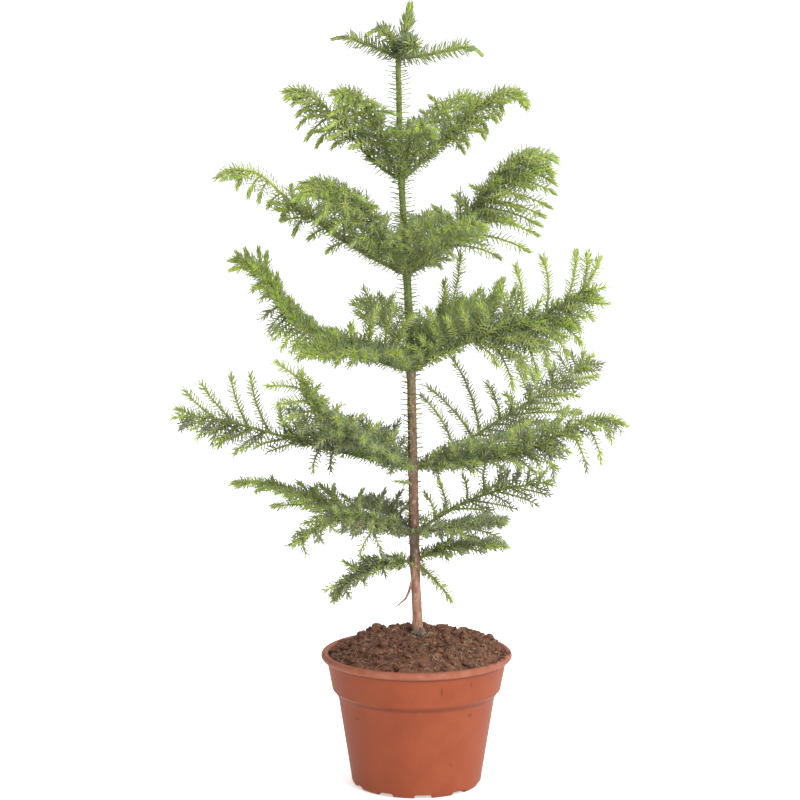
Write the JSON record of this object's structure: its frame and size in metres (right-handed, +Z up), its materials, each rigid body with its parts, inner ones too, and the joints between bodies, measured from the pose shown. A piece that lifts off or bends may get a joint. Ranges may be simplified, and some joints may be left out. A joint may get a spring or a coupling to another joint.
{
  "type": "potted norfolk island pine",
  "caption": "Young potted conifer: a thin straight trunk with spreading tiers of soft needled fronds, in a tapered terracotta-coloured plastic nursery pot with a deep rim band.",
  "frame": {"origin": "the middle of the pot's flat underside, on the surface that the pot stands on", "axes": "+Z up along the trunk, the part's longest way; -Y towards the side that the picture shows; +X to its right"},
  "size_m": [0.3955, 0.2471, 0.6921],
  "materials": {
    "pot_plastic": "satin terracotta-coloured moulded plastic, lighter on the lip",
    "potting_mix": "moist crumbly brown peat mix with pale fibres",
    "trunk_bark": "thin smooth bark, tan at the foot, grey-brown above, green at the top",
    "bough_bark": "young green bark",
    "needles": "soft satin green needles, bright yellow-green at the tips"
  },
  "bodies": {
    "root": {"leader_needles": "needles", "pot": "pot_plastic", "potting_mix": "potting_mix", "tier1_left_needles": "needles", "tier1_low_right_needles": "needles", "tier1_right_needles": "needles", "tier2_back_left_needles": "needles", "tier2_back_right_bough": "bough_bark", "tier2_back_right_needles": "needles", "tier2_front_left_bough": "bough_bark", "tier2_front_left_needles": "needles", "tier2_front_right_needles": "needles", "tier2_left_bough": "bough_bark", "tier2_left_needles": "needles", "tier3_back_left_bough": "bough_bark", "tier3_back_left_needles": "needles", "tier3_back_right_bough": "bough_bark", "tier3_back_right_needles": "needles", "tier3_front_left_bough": "bough_bark", "tier3_front_left_needles": "needles", "tier3_left_bough": "bough_bark", "tier3_left_needles": "needles", "tier3_right_bough": "bough_bark", "tier3_right_needles": "needles", "tier4_back_left_bough": "bough_bark", "tier4_back_left_needles": "needles", "tier4_back_right_bough": "bough_bark", "tier4_back_right_needles": "needles", "tier4_front_left_bough": "bough_bark", "tier4_front_left_needles": "needles", "tier4_left_bough": "bough_bark", "tier4_left_needles": "needles", "tier4_right_bough": "bough_bark", "tier4_right_needles": "needles", "tier5_back_bough": "bough_bark", "tier5_back_needles": "needles", "tier5_front_left_bough": "bough_bark", "tier5_front_left_needles": "needles", "tier5_front_right_bough": "bough_bark", "tier5_front_right_needles": "needles", "tier5_left_bough": "bough_bark", "tier5_left_needles": "needles", "tier5_right_bough": "bough_bark", "tier5_right_needles": "needles", "tier6_back_right_bough": "bough_bark", "tier6_back_right_needles": "needles", "tier6_front_left_bough": "bough_bark", "tier6_front_left_needles": "needles", "tier6_front_needles": "needles", "tier6_left_bough": "bough_bark", "tier6_left_needles": "needles", "tier6_right_bough": "bough_bark", "tier6_right_needles": "needles", "tier7_front_left_needles": "needles", "tier7_front_right_needles": "needles", "tier7_left_needles": "needles", "tier7_right_needles": "needles", "trunk": "trunk_bark"}
  },
  "joints": []
}
